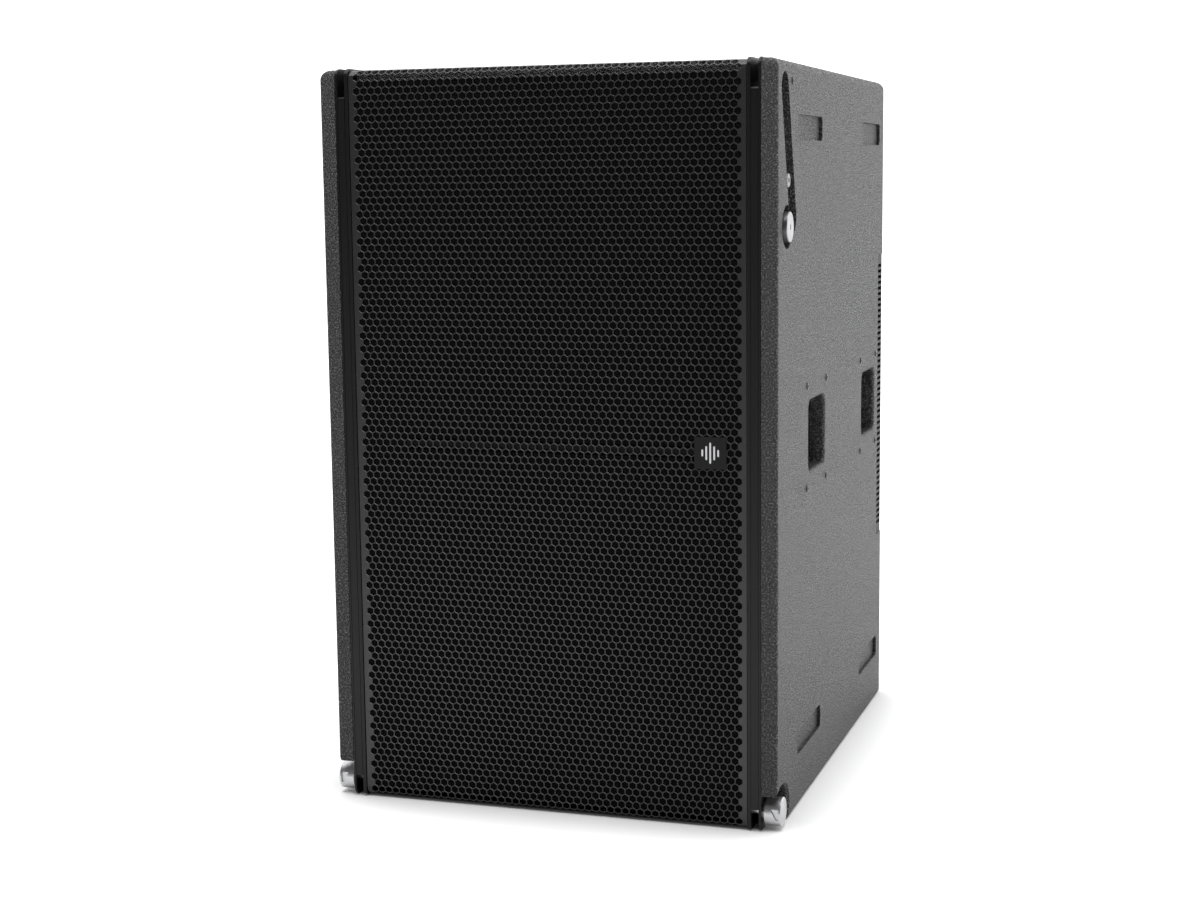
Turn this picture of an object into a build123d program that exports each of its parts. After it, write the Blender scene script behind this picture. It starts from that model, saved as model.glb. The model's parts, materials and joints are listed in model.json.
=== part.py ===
from build123d import *

import math
import os

# PA bass cabinet with two 18-inch woofers, rigging rails with sliding link bars, and rear electronics.
# Frame: +Z up, +X to the right as seen from the front, the front faces -Y. Millimetres.
# The origin is the centre of the underside.

# Shell
WIDTH = 690.0
DEPTH = 840.0
HEIGHT = 1100.0
WALL = 24.0
TOP_EDGE_RADIUS = 14.0
BOTTOM_EDGE_RADIUS = 6.0
FRONT_EDGE_RADIUS = 4.0
REAR_EDGE_RADIUS = 8.0
LEVEL_PANEL_SET_BACK = 34.0
GAP = 0.3
FRONT = -DEPTH / 2
BACK = DEPTH / 2
SIDE = WIDTH / 2
WALL_INSIDE = SIDE - WALL

# Grille
GRILLE_HALF_WIDTH = 299.5
GRILLE_THICKNESS = 1.5
GRILLE_SET_BACK = 2.0
GRILLE_EDGE_RADIUS = 14.0
GRILLE_FLANGE = 12.0
GRILLE_TOP_GAP = 1.5
BADGE_SIZE = (47.0, 46.0)
BADGE_X = 247.0
BADGE_SET_BACK = 0.5
BADGE_CORNER = 1.5
FOAM_THICKNESS = 4.0
FOAM_HALF_WIDTH = 297.5
FOAM_END = 17.0

# Rigging rail, an open-backed aluminium channel at each side of the front
RAIL_INNER = 300.3
RAIL_OUTER = 320.7
RAIL_CAVITY = (305.0, 317.0)
RAIL_WEB = 4.0
RAIL_DEPTH = 122.0
RAIL_END_RADIUS = 13.0
RAIL_PROUD = 1.5
WINDOW = (306.0, 317.0)
TOP_WINDOW_HEIGHT = 40.0
BOTTOM_WINDOW_HEIGHT = 32.5
SILL_CHAMFER = 2.0
GROOVE = 0.8
GROOVE_CENTRES = (305.8, 317.2)
RAIL_EDGE_RADIUS = 1.2
CHEEK_THICKNESS = 12.0
CHEEK_SET_BACK = 8.0
CHANNEL_DEPTH = 150.0

# Link bar, sliding up and forward along a slanted line that ends at the next cabinet's base lock pin
PIN_SET_BACK = 26.0
PIN_HEIGHT = 25.0
LINK_ANGLE = 15.6
LINK_TRAVEL = 132.0
LINK_WIDTH = 42.0
LINK_FACES = (306.0, 316.0)
LINK_LENGTH = 220.0
LINK_HOLE_RADIUS = 6.55
GUIDE_FROM_HOLE = 68.4
GUIDE_SHANK_RADIUS = 7.0
GUIDE_HEAD_RADIUS = 10.0
GUIDE_HEAD_LENGTH = 5.0
GUIDE_BELOW_SURFACE = 2.5
GUIDE_EDGE = 0.8
GUIDE_SOCKET = (4.0, 3.0)
GUIDE_STRIP_ENDS = (70.0, 330.0)
GUIDE_STRIP_WIDTH = 8.0
LINK_FOOT_REACH = 6.0
LINK_FOOT_BACK = 100.0
LINK_FOOT_HEIGHT = 18.0
SLOT_WIDTH = 45.0
SLOT_ENDS = (67.5, 254.5)
RAIL_SLOT_WIDTH = 15.0

# Lock plungers
PIN_RADIUS = 6.5
PIN_TIP = 304.3
KNOB_RADIUS = 21.5
KNOB_LENGTH = 24.0
KNOB_WALL = 3.0
KNOB_BORE = 17.0
SLEEVE_OUTER = 15.0
SLEEVE_INNER = 12.0
SLEEVE_CAP = 3.0
SHOULDER_LENGTH = 2.5
SPRING_RADIUS = 9.5
SPRING_WIRE = 1.4
SPRING_TURNS = 4
BASE_KNOB_FACE = SIDE + 3.0
UPPER_KNOB_FACE = SIDE + 5.0
NOTCH_RADIUS = 35.5
NOTCH_CENTRES = (21.0, 38.0)
NOTCH_BEVEL = 4.0
UPPER_KNOB_SET_BACK = 57.0
UPPER_KNOB_HEIGHT = 867.0
POCKET_RADIUS = 31.0
BAY_RISE = 18.0
KNOB_EDGE_RADIUS = 1.2
COIN_SLOT = (4.0, 7.0, 1.0)
RIM_NOTCH_DEPTH = 3.0
RIM_NOTCH_X = (15.0, 7.0, 3.2)
RIM_NOTCH_Z = (-7.5, 8.5)
SHOULDER_START = RAIL_OUTER + 0.5
SHOULDER_CLEARANCE = 0.4
SPRING_CLEARANCE = 0.1

# Side wall details
SKID_POCKET_HEIGHT = 36.0
SKID_POCKET_DEPTH = 5.0
SKID_CENTRES_Z = (97.0, 1008.0)
SKID_SPANS = ((133.0, 301.0), (630.0, 797.0))
SKID_CORNER = 9.0
FOOT_INSET = 2.0
FOOT_PROUD = 4.5
FOOT_EDGE_RADIUS = 1.5
HANDLE_CENTRES = (268.0, 700.0)
HANDLE_Z = HEIGHT / 2
HANDLE_OPENING = (118.0, 106.0)
HANDLE_CORNER = 14.0
HANDLE_ROUNDOVER = 6.0
HANDLE_SCREWS = (142.0, 154.0)
RAIL_SCREW_SET_BACK = 92.0
RAIL_SCREW_HEIGHT = 1071.0
SIDE_SCREW_RADIUS = 2.5
SIDE_SCREW_HEAD = (5.0, 1.6)
CUP_FLANGE = (158.0, 172.0)
CUP_OUTER = (130.0, 142.0)
CUP_DEPTH = 66.0
CUP_WALL = 3.0
CUP_FLANGE_CORNER = 10.0
CUP_CORNER = 18.0
CUP_BOTTOM_RADIUS = 12.0
REAR_CUT = (300.0, 800.0)
REAR_CUT_SET_BACK = 791.0

# Baffle, ports and woofers
BAFFLE_SET_BACK = 62.0
BAFFLE_THICKNESS = 24.0
BAFFLE_HALF_WIDTH = RAIL_INNER - GAP - CHEEK_THICKNESS
PORT_RADIUS = 50.0
PORT_WALL = 4.0
PORT_LENGTH = 190.0
PORT_CORNER = (226.0, 86.0)
WOOFER_HEIGHTS = (290.0, 810.0)
WOOFER_RADIUS = 231.0
WOOFER_SCREW_CIRCLE = 219.0
WOOFER_SCREWS = 8
SEAT_RADIUS = 206.0
WOOFER_SCREW_RADIUS = 3.0
WOOFER_SCREW_LENGTH = 30.0
WOOFER_SCREW_HEAD = (5.4, 4.0)
SCREW_CLEARANCE = 0.05
FLANGE_THICKNESS = 9.0
RIM_RADII = (187.0, 203.0)
RIM_DEPTH = 14.0
ARM_COUNT = 8
ARM_DEPTHS = (10.0, 128.0)
ARM_THICKNESS = 6.0
ARM_GAP = (120.0, 68.0, 84.0)
ARM_GAP_RADIUS = 165.0
ARM_GAP_DEPTH = 60.0
MOTOR_SEAT_RADII = (56.0, 112.0)
MOTOR_SEAT_DEPTHS = (122.0, 130.0)
LEDGE_RADII = (104.0, 140.0)
LEDGE_DEPTHS = (92.0, 98.0)
GASKET_RADII = (205.0, 212.0)
GASKET_THICKNESS = 3.0
ROLL_RADIUS = 189.0
ROLL_OUTER = 12.0
ROLL_THICKNESS = 1.8
LIP_RADII = (199.0, 204.0)
CONE_RADIUS = 174.0
CONE_RIM = 5.0
CONE_EDGE = 3.0
NECK_DEPTHS = (78.0, 84.0)
COIL_RADIUS = 50.0
COIL_WALL = (-0.8, 1.0)
COIL_DEPTHS = (74.0, 156.0)
COIL_GLUE = 0.2
SPIDER_ENDS = (104.0, 100.0)
SPIDER_POINTS = 13
SPIDER_STEP = 4.4
SPIDER_WAVE = 2.5
SPIDER_THICKNESS = 1.0
TOP_PLATE_RADII = (54.0, 104.0)
TOP_PLATE_DEPTHS = (130.0, 140.0)
MAGNET_RADII = (60.0, 110.0)
MAGNET_DEPTHS = (140.0, 172.0)
POLE_RADII = (16.0, 47.0)
POLE_START = 128.0
BACK_PLATE_THICKNESS = 12.0
CAP_RADIUS = 67.0
CAP_BALL_RADIUS = 131.0
CAP_THICKNESS = 2.0
CAP_NOSE = 45.0
CAP_HEIGHT = 22.0
TERMINAL_DEPTH = 130.0
TERMINAL_HEIGHTS = (105.0, 134.0)
TERMINAL_HALF_WIDTH = 16.0
TERMINAL_THICKNESS = 3.0
POST_RADIUS = 3.0
POST_OFFSET = 9.0

# Inner braces
BRACE_HALF_WIDTH = 222.0
BRACE_HEIGHT = 16.0
BRACE_SET_BACK = 5.0
BOARD = 18.0
FRAME_SET_BACK = 400.0
FRAME_WINDOW = (230.0, 380.0)
FRAME_WINDOW_X = 155.0
FRAME_WINDOW_CORNER = 40.0
SHELF_HALF_WIDTH = 240.0
SHELF_END = 650.0
SHELF_WINDOW = (180.0, 240.0)
SHELF_WINDOW_X = 118.0
SHELF_WINDOW_CENTRES = (225.0, 530.0)
SHELF_WINDOW_CORNER = 30.0

# Rear electronics
PLATE_SET_BACK = 787.0
SINK_INNER = 226.0
SINK_OUTER = 343.0
SINK_DEPTH = 47.0
SINK_WALL = 4.0
SINK_SKIN = 1.5
CHANNEL_COUNT = 47
CHANNEL_PITCH = 10.0
CHANNEL_HEIGHT = 5.4
FIRST_CHANNEL = 317.0
PANEL_HALF_WIDTH = 210.0
PANEL_Z = (320.0, 780.0)
PANEL_THICKNESS = 2.0
PANEL_CORNER = 6.0
PANEL_SCREW_INSET = 12.0
PANEL_SCREW_RADIUS = 2.0
PANEL_SCREW_HEAD = (4.0, 2.5)
INLET_CENTRE = (-120.0, 400.0)
INLET_BODY = (27.0, 20.0, 24.0)
INLET_CAVITY = (23.0, 15.0, 16.0)
INLET_FLANGE = (50.0, 28.0, 2.5)
INLET_CORNER = 5.0
BLADE_CENTRES = ((-7.0, -2.0), (7.0, -2.0), (0.0, 3.0))
BLADE_SIZE = (2.0, 6.0)
BLADE_BELOW_FACE = 3.0
SOCKET_CENTRES = ((-150.0, 640.0), (-95.0, 640.0))
SOCKET_RADIUS = 12.0
SOCKET_DEPTH = 20.0
SOCKET_BORE = 9.5
SOCKET_BORE_DEPTH = 14.0
SOCKET_FLANGE = (26.0, 31.0, 2.0)
SOCKET_CORNER = 3.0
SIGNAL_PIN_RADIUS = 1.2
SIGNAL_PIN_CIRCLE = 4.0
SIGNAL_PIN_ANGLES = (30.0, 150.0, 270.0)
DIAL_CENTRE = (60.0, 640.0)
DIAL_RADIUS = 9.0
DIAL_LENGTH = 14.0
DIAL_RIBS = 18
DIAL_RIB = 1.2
DIAL_RIB_END = 4.0
DIAL_POINTER = (1.2, 7.0)
SHAFT_RADIUS = 3.0
SHAFT_LENGTH = 10.0
BUSH_RADIUS = 4.5
BUSH_CLEARANCE = 0.05
COVER_HALF_WIDTH = 200.0
COVER_Z = (335.0, 765.0)
COVER_SET_BACK = 660.0
COVER_SHEET = 2.0
BOARD_X = (-190.0, 90.0)
BOARD_Z = (345.0, 620.0)
BOARD_THICKNESS = 1.6
BOARD_FROM_PLATE = 32.0
BLOCK_COUNT = 4
BLOCK_SIZE = (40.0, 40.0, 30.0)
BLOCK_START = (-170.0, 380.0)
BLOCK_PITCH = 60.0
CAN_COUNT = 5
CAN_RADIUS = 15.0
CAN_LENGTH = 45.0
CAN_START = (-150.0, 520.0)
CAN_PITCH = 50.0
RING_CORE = (42.0, 20.0)
RING_CORE_PLACE = (110.0, 690.0)
RING_CORE_FROM_PLATE = 60.0


def from_front(distance):
    """The Y of a point that lies this far behind the front plane."""
    return FRONT + distance


def block(x, y, z):
    """A box from three (low, high) pairs."""
    size = [high - low for low, high in (x, y, z)]
    centre = [(low + high) / 2 for low, high in (x, y, z)]
    return Pos(*centre) * Box(*size)


def rod_x(x, y, z, radius):
    """A cylinder along X, from x[0] to x[1]."""
    return Pos((x[0] + x[1]) / 2, y, z) * Rot(0, 90, 0) * Cylinder(radius, x[1] - x[0])


def rod_y(y, x, z, radius):
    """A cylinder along Y, from y[0] to y[1]."""
    return Pos(x, (y[0] + y[1]) / 2, z) * Rot(90, 0, 0) * Cylinder(radius, y[1] - y[0])


def turned(points, z):
    """A ring or disc turned about a woofer's axis. Points are (radius, distance behind the baffle's face)."""
    profile = make_face(Polyline(*points, close=True))
    return Pos(0, from_front(BAFFLE_SET_BACK), z) * revolve(profile, Axis.Y)


def ring(radii, depths, z):
    """A plain ring about a woofer's axis."""
    (inner, outer), (start, end) = radii, depths
    return turned(((inner, start), (outer, start), (outer, end), (inner, end)), z)


def panel_x(outline, x):
    """A flat sketch in the YZ plane, given thickness from x[0] to x[1]."""
    return Pos(x[0], 0, 0) * extrude(Plane.YZ * outline, x[1] - x[0])


def join(shapes):
    """Fuse a list of shapes into one."""
    first, *others = shapes
    return first.fuse(*others) if others else first


def group(shapes):
    """Several separate solids in one node."""
    solids = [solid for shape in shapes for solid in shape.solids()]
    return Compound(children=solids)


def mirrored(shape):
    """The same thing on the other side of the cabinet."""
    return mirror(shape, about=Plane.YZ)


def save(node, shape):
    """Write one node as a STEP file."""
    shape.label = node
    export_step(shape, f"parts/{node}.step")


def save_pair(node, right):
    """Write a right-hand piece and its left-hand mirror image."""
    save(f"{node}_right", right)
    save(f"{node}_left", mirrored(right))


def save_both(node, right_pieces):
    """Write pieces of both sides together, as one node of separate solids."""
    save(node, group([*right_pieces, *[mirrored(piece) for piece in right_pieces]]))


def link_point(distance):
    """A point on the link bar's line of travel, this far below the raised hole centre."""
    angle = math.radians(LINK_ANGLE)
    y = from_front(PIN_SET_BACK) + distance * math.sin(angle)
    z = HEIGHT + PIN_HEIGHT - distance * math.cos(angle)
    return y, z


def link_slot(ends, width):
    """An obround outline along the line of travel."""
    (y0, z0), (y1, z1) = link_point(ends[0]), link_point(ends[1])
    length = ends[1] - ends[0] + width
    return Pos((y0 + y1) / 2, (z0 + z1) / 2) * Rot(0, 0, 90 + LINK_ANGLE) * SlotOverall(length, width)


def upper_knob_place():
    return from_front(UPPER_KNOB_SET_BACK), UPPER_KNOB_HEIGHT


def base_knob_place():
    return from_front(PIN_SET_BACK), PIN_HEIGHT


def handle_places():
    return [(from_front(distance), HANDLE_Z) for distance in HANDLE_CENTRES]


def handle_screw_places():
    """The four screws around each hand hole, as (y, z)."""
    half_y, half_z = HANDLE_SCREWS[0] / 2, HANDLE_SCREWS[1] / 2
    return [
        (y + side * half_y, z + level * half_z)
        for y, z in handle_places()
        for side in (-1, 1)
        for level in (-1, 1)
    ]


def skids(inset, height):
    """Long rounded pads standing on the right-hand surface, drawn in a little all round."""
    width = SKID_POCKET_HEIGHT - 2 * inset
    pads = []
    for start, end in SKID_SPANS:
        outline = RectangleRounded(end - start - 2 * inset, width, SKID_CORNER - inset)
        middle = from_front((start + end) / 2)
        pads.extend(panel_x(Pos(middle, z) * outline, (0, height)) for z in SKID_CENTRES_Z)
    return pads


def side_wall():
    """The plain right-hand wall, with every cut that both walls have."""
    wall = block((WALL_INSIDE, SIDE), (FRONT, BACK), (0, HEIGHT))
    upright = wall.edges().filter_by(Axis.Z).group_by(Axis.X)[-1].sort_by(Axis.Y)
    wall = fillet(upright[0], FRONT_EDGE_RADIUS)
    upright = wall.edges().filter_by(Axis.Z).group_by(Axis.X)[-1].sort_by(Axis.Y)
    wall = fillet(upright[-1], REAR_EDGE_RADIUS)
    along = wall.edges().filter_by(Axis.Y).group_by(Axis.X)[-1].sort_by(Axis.Z)
    wall = fillet(along[-1], TOP_EDGE_RADIUS)
    along = wall.edges().filter_by(Axis.Y).group_by(Axis.X)[-1].sort_by(Axis.Z)
    wall = fillet(along[0], BOTTOM_EDGE_RADIUS)
    through = (WALL_INSIDE - 1, SIDE + 1)
    cuts = [
        panel_x(link_slot(SLOT_ENDS, SLOT_WIDTH), through),
        rod_x(through, *upper_knob_place(), POCKET_RADIUS),
        panel_x(pocket_blend(), through),
        panel_x(knob_notch(), through),
        notch_bevel(),
        block(through, (FRONT - 1, from_front(NOTCH_CENTRES[1])), (-1, PIN_HEIGHT)),
        block(through, (from_front(REAR_CUT_SET_BACK), BACK + 1), REAR_CUT),
    ]
    wall = wall - cuts
    for y, z in handle_places():
        outline = Pos(y, z) * RectangleRounded(*HANDLE_OPENING, HANDLE_CORNER)
        wall = wall - panel_x(outline, through)
    wall = fillet(hand_hole_edges(wall), HANDLE_ROUNDOVER)
    screw_places = [*handle_screw_places(), rail_screw_place()]
    return wall - [rod_x(through, *place, SIDE_SCREW_RADIUS) for place in screw_places]


def hand_hole_edges(wall):
    """The outer edges of the hand holes."""
    half_y, half_z = HANDLE_OPENING[0] / 2 + 1, HANDLE_OPENING[1] / 2 + 1
    edges = []
    for edge in wall.edges().group_by(Axis.X)[-1]:
        centre = edge.center()
        near = [abs(centre.Y - y) < half_y and abs(centre.Z - z) < half_z for y, z in handle_places()]
        if any(near):
            edges.append(edge)
    return edges


def knob_notch():
    """Obround notch round the base knob, open below."""
    y0, y1 = [from_front(centre) for centre in NOTCH_CENTRES]
    return Pos((y0 + y1) / 2, PIN_HEIGHT) * SlotOverall(y1 - y0 + 2 * NOTCH_RADIUS, 2 * NOTCH_RADIUS)


def notch_bevel():
    """Cutter that bevels the outer edge of the notch."""
    flare = extrude(Plane.YZ * knob_notch(), NOTCH_BEVEL + 1, taper=-45)
    return Pos(SIDE - NOTCH_BEVEL, 0, 0) * flare


def pocket_blend():
    """The straight-sided bay that joins the knob pocket to the guide slot."""
    y, z = upper_knob_place()
    low_y, low_z = link_point(SLOT_ENDS[1])
    reach = POCKET_RADIUS * math.sin(math.radians(45))
    top = (low_y - SLOT_WIDTH / 2 + 1, low_z + BAY_RISE)
    outline = Polyline((y - reach, z + reach), top, (low_y, low_z), (low_y, z), (y, z), close=True)
    return make_face(outline)


def rail_screw_place():
    """The small screw just behind the top of the guide slot."""
    return from_front(RAIL_SCREW_SET_BACK), RAIL_SCREW_HEIGHT


def side_panel_right():
    pockets = [Pos(SIDE, 0, 0) * mirrored(piece) for piece in skids(0.0, SKID_POCKET_DEPTH)]
    return side_wall() - pockets


def skid_feet():
    """Four long feet on the left wall that fit the pockets in the right wall of another cabinet."""
    pads = skids(FOOT_INSET, FOOT_PROUD)
    feet = [fillet(pad.edges().group_by(Axis.X)[-1], FOOT_EDGE_RADIUS) for pad in pads]
    return [Pos(-SIDE, 0, 0) * mirrored(foot) for foot in feet]


def horizontal_panel(z):
    """Top or bottom panel, notched at the front corners for the rigging channels."""
    inner = RAIL_INNER - GAP
    wide = block((-WALL_INSIDE, WALL_INSIDE), (from_front(RAIL_DEPTH + GAP), BACK), z)
    front = block((-inner, inner), (from_front(LEVEL_PANEL_SET_BACK), from_front(RAIL_DEPTH + GAP)), z)
    return wide + front


def grille():
    """Formed sheet: flat face, with its top and bottom edges rolled back into short flanges."""
    low, high = GRILLE_TOP_GAP, HEIGHT - GRILLE_TOP_GAP
    y0 = from_front(GRILLE_SET_BACK)
    y1 = y0 + GRILLE_EDGE_RADIUS + GRILLE_FLANGE
    outer = block((-GRILLE_HALF_WIDTH, GRILLE_HALF_WIDTH), (y0, y1), (low, high))
    outer = fillet(outer.edges().filter_by(Axis.X).group_by(Axis.Y)[0], GRILLE_EDGE_RADIUS)
    inner = block(
        (-GRILLE_HALF_WIDTH - 1, GRILLE_HALF_WIDTH + 1),
        (y0 + GRILLE_THICKNESS, y1 + 1),
        (low + GRILLE_THICKNESS, high - GRILLE_THICKNESS),
    )
    radius = GRILLE_EDGE_RADIUS - GRILLE_THICKNESS
    inner = fillet(inner.edges().filter_by(Axis.X).group_by(Axis.Y)[0], radius)
    return outer - inner


def badge():
    width, height = BADGE_SIZE
    x = (BADGE_X - width / 2, BADGE_X + width / 2)
    z = (HEIGHT / 2 - height / 2, HEIGHT / 2 + height / 2)
    plate = block(x, (from_front(BADGE_SET_BACK), from_front(GRILLE_SET_BACK)), z)
    return fillet(plate.edges().filter_by(Axis.Y), BADGE_CORNER)


def grille_foam():
    """Thin foam panel stuck to the back of the grille, cut out round the centre brace."""
    back_of_grille = GRILLE_SET_BACK + GRILLE_THICKNESS
    y = (from_front(back_of_grille), from_front(back_of_grille + FOAM_THICKNESS))
    foam = block((-FOAM_HALF_WIDTH, FOAM_HALF_WIDTH), y, (FOAM_END, HEIGHT - FOAM_END))
    half_x, half_z = BRACE_HALF_WIDTH + GAP, BRACE_HEIGHT / 2 + GAP
    middle = HEIGHT / 2
    return foam - block((-half_x, half_x), (y[0] - 1, y[1] + 1), (middle - half_z, middle + half_z))


def rigging_rail():
    """Right-hand rail: a U-shaped channel, rounded at both ends, with a window at each end."""
    low, high = 0, HEIGHT + RAIL_PROUD
    rail = block((RAIL_INNER, RAIL_OUTER), (FRONT, from_front(RAIL_DEPTH)), (low, high))
    rail = fillet(rail.edges().filter_by(Axis.X).group_by(Axis.Y)[0], RAIL_END_RADIUS)
    rail = fillet(rail_face_edges(rail), RAIL_EDGE_RADIUS)
    cavity = block(RAIL_CAVITY, (from_front(RAIL_WEB), BACK), (low - 1, high + 1))
    windows = [
        block(WINDOW, (FRONT - 1, from_front(RAIL_WEB + 1)), (HEIGHT - TOP_WINDOW_HEIGHT, high + 1)),
        block(WINDOW, (FRONT - 1, from_front(RAIL_WEB + 1)), (low - 1, BOTTOM_WINDOW_HEIGHT)),
        window_sill(),
    ]
    grooves = [
        block((x - GROOVE / 2, x + GROOVE / 2), (FRONT - 1, FRONT + GROOVE), (low - 1, high + 1))
        for x in GROOVE_CENTRES
    ]
    outer_flange = (RAIL_CAVITY[1] - 1, RAIL_OUTER + 1)
    slot_ends = (GUIDE_FROM_HOLE, GUIDE_FROM_HOLE + LINK_TRAVEL)
    slot = panel_x(link_slot(slot_ends, RAIL_SLOT_WIDTH), outer_flange)
    across = (RAIL_INNER + 1, RAIL_OUTER + 1)
    pins = (upper_knob_place(), base_knob_place())
    pin_holes = [rod_x(across, *place, PIN_RADIUS + BUSH_CLEARANCE) for place in pins]
    screw_hole = rod_x(outer_flange, *rail_screw_place(), SIDE_SCREW_RADIUS)
    return rail - [cavity, *windows, *grooves, slot, screw_hole, *pin_holes]


def rail_face_edges(rail):
    """The long edges of the rail's face, with the arcs at their ends."""
    limit = from_front(RAIL_END_RADIUS) + GAP
    edges = []
    for edge in rail.edges():
        box = edge.bounding_box()
        if box.max.Y < limit and box.size.X < 1:
            edges.append(edge)
    return edges


def window_sill():
    """Wedge that bevels the lower edge of the rail's top window."""
    z = HEIGHT - TOP_WINDOW_HEIGHT
    points = ((FRONT - 1, z + 1), (FRONT - 1, z - SILL_CHAMFER - 1), (from_front(SILL_CHAMFER + 1), z + 1))
    return panel_x(make_face(Polyline(*points, close=True)), WINDOW)


def cheek_panel():
    """Plywood wall that closes the rigging channel off from the drivers, with a filler behind the channel."""
    inner = BAFFLE_HALF_WIDTH
    z = (WALL, HEIGHT - WALL)
    cheek = block((inner, RAIL_INNER - GAP), (from_front(CHEEK_SET_BACK), from_front(CHANNEL_DEPTH)), z)
    filler_y = (from_front(CHANNEL_DEPTH), from_front(CHANNEL_DEPTH + CHEEK_THICKNESS))
    return cheek + block((inner, WALL_INSIDE), filler_y, z)


def link_bar():
    """Flat bar with rounded ends, a hole at the top and a foot that stands on the upper lock pin."""
    top = LINK_TRAVEL
    bar = panel_x(link_slot((top, top + LINK_LENGTH - LINK_WIDTH), LINK_WIDTH), LINK_FACES)
    pin_y, pin_z = upper_knob_place()
    foot_z = pin_z + PIN_RADIUS + GAP
    foot_y = (pin_y - LINK_FOOT_REACH, from_front(LINK_FOOT_BACK))
    foot = block(LINK_FACES, foot_y, (foot_z, foot_z + LINK_FOOT_HEIGHT))
    across = (LINK_FACES[0] - 1, LINK_FACES[1] + 1)
    hole = rod_x(across, *link_point(top), LINK_HOLE_RADIUS)
    seat = rod_x(across, *link_point(top + GUIDE_FROM_HOLE), GUIDE_SHANK_RADIUS)
    return bar + foot - [hole, seat]


def link_guide():
    """Strip behind the bar that keeps it on its slanted line."""
    offset = LINK_WIDTH / 2 + GAP + GUIDE_STRIP_WIDTH / 2
    angle = math.radians(LINK_ANGLE)
    strip = link_slot(GUIDE_STRIP_ENDS, GUIDE_STRIP_WIDTH)
    strip = Pos(offset * math.cos(angle), offset * math.sin(angle)) * strip
    return panel_x(strip, LINK_FACES)


def guide_bolt():
    """Round-headed bolt fixed in the link bar and seen through the guide slot."""
    place = link_point(LINK_TRAVEL + GUIDE_FROM_HOLE)
    head_face = SIDE - GUIDE_BELOW_SURFACE
    shank = rod_x((LINK_FACES[0], head_face - 1), *place, GUIDE_SHANK_RADIUS)
    head = rod_x((head_face - GUIDE_HEAD_LENGTH, head_face), *place, GUIDE_HEAD_RADIUS)
    head = chamfer(head.edges().group_by(Axis.X)[-1], GUIDE_EDGE)
    return shank + head - hex_socket(head_face, place, *GUIDE_SOCKET)


def hex_socket(face, place, radius, depth):
    """Hexagonal hole in a screw head that faces +X."""
    return Pos(face, *place) * Rot(0, 90, 0) * extrude(RegularPolygon(radius, 6), depth, both=True)


def lock_knob(place, face, notched):
    """Turned metal cup that fits over the plunger's sleeve."""
    x = (face - KNOB_LENGTH, face)
    knob = rod_x(x, *place, KNOB_RADIUS)
    knob = fillet(knob.edges().group_by(Axis.X)[-1], KNOB_EDGE_RADIUS)
    bore = rod_x((x[0] - 1, face - KNOB_WALL), *place, KNOB_BORE)
    pin_hole = rod_x((face - KNOB_WALL - 1, face - 1), *place, PIN_RADIUS)
    knob = knob - [bore, pin_hole]
    return knob - (rim_notch(place, face) if notched else coin_slot(place, face))


def rim_notch(place, face):
    """V-shaped notch in the front of the rim."""
    y, z = place
    back, middle, front = [face - distance for distance in RIM_NOTCH_X]
    low, high = [z + height for height in RIM_NOTCH_Z]
    outline = make_face(Polyline((back, high), (front, high), (front, low), (middle, low), close=True))
    return Pos(0, y - KNOB_RADIUS + RIM_NOTCH_DEPTH, 0) * extrude(Plane.XZ * outline, 2 * RIM_NOTCH_DEPTH)


def coin_slot(place, face):
    y, z = place
    width, height, depth = COIN_SLOT
    return block((face - depth, face + 1), (y - width / 2, y + width / 2), (z - height / 2, z + height / 2))


def lock_sleeve(place, face):
    """Fixed sleeve that holds the pin and its return spring."""
    cap = face - KNOB_WALL - 1
    x = (RAIL_OUTER, cap)
    sleeve = rod_x(x, *place, SLEEVE_OUTER) - rod_x((x[0] - 1, cap - SLEEVE_CAP), *place, SLEEVE_INNER)
    return sleeve - rod_x((x[0], cap + 1), *place, PIN_RADIUS + BUSH_CLEARANCE)


def lock_pin(place, face):
    """Pin with a shoulder for the spring. It crosses the rail's cavity at rest."""
    pin = rod_x((PIN_TIP, face - 1), *place, PIN_RADIUS)
    pin = chamfer(pin.edges().group_by(Axis.X)[0], 1)
    shoulder_x = (SHOULDER_START, SHOULDER_START + SHOULDER_LENGTH)
    return pin + rod_x(shoulder_x, *place, SLEEVE_INNER - SHOULDER_CLEARANCE)


def lock_spring(place, face):
    """Return spring between the pin's shoulder and the sleeve's cap."""
    margin = SPRING_WIRE / 2 + SPRING_CLEARANCE
    start = SHOULDER_START + SHOULDER_LENGTH + margin
    end = face - KNOB_WALL - 1 - SLEEVE_CAP - margin
    length = end - start
    path = Helix(pitch=length / SPRING_TURNS, height=length, radius=SPRING_RADIUS)
    section = Plane(origin=path @ 0, z_dir=path % 0) * Circle(SPRING_WIRE / 2)
    coil = sweep(section, path=path, is_frenet=True)
    return Pos(start, *place) * Rot(0, 90, 0) * coil


def woofer_screw_places(centre_z):
    """Screw centres around one woofer, as (x, z)."""
    steps = [math.radians(360 / WOOFER_SCREWS * (index + 0.5)) for index in range(WOOFER_SCREWS)]
    return [(WOOFER_SCREW_CIRCLE * math.cos(a), centre_z + WOOFER_SCREW_CIRCLE * math.sin(a)) for a in steps]


def port_places():
    """Port centres, one in each corner of the baffle, as (x, z)."""
    x, z = PORT_CORNER
    return [(side * x, level) for side in (-1, 1) for level in (z, HEIGHT - z)]


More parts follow.
